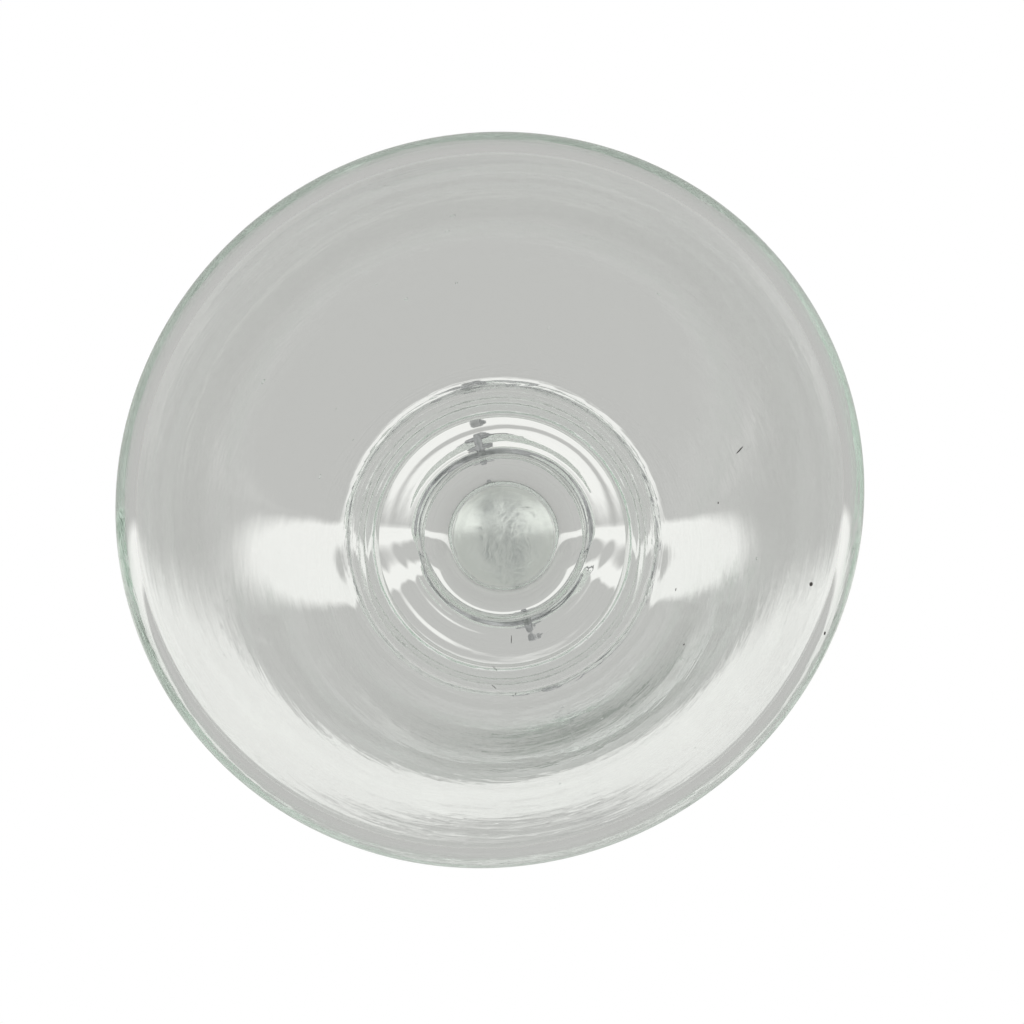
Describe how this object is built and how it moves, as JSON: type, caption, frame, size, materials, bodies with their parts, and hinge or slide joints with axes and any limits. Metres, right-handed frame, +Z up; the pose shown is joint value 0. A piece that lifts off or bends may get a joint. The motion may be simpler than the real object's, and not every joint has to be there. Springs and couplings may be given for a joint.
{
  "type": "glass wasp trap",
  "caption": "Hand-blown clear glass bell with a re-entrant base and a round mouth underneath, closed by a glass stopper and hung from a wire bail.",
  "frame": {"origin": "the point where a hook bears on the underside of the bail's top loop, on the neck's axis", "axes": "+Z up along the neck's axis with the trap hanging, X along the line through the collar's two eyes; the bottom roll's centre lies towards -X of the neck's axis"},
  "size_m": [0.1528, 0.1572, 0.2401],
  "materials": {
    "body_glass": "clear hand-blown glass with a faint green tint, seeds and turning marks",
    "stopper_glass": "thick solid glass, a little greener than the body",
    "wire": "galvanised steel wire, dull grey"
  },
  "bodies": {
    "hanger": {"bail_wire": "wire"},
    "trap": {"glass_body": "body_glass", "neck_wire": "wire"},
    "stopper": {"glass_stopper": "stopper_glass"}
  },
  "joints": [
    {"name": "bail_swing", "type": "hinge", "parent": "hanger", "child": "trap", "pos_m": [0, 0, -0.0985], "axis": [1, 0, 0], "range_deg": [-130, 130]},
    {"name": "stopper_lift", "type": "slide", "parent": "trap", "child": "stopper", "axis": [0, 0, 1], "range_m": [0, 0.04]}
  ]
}
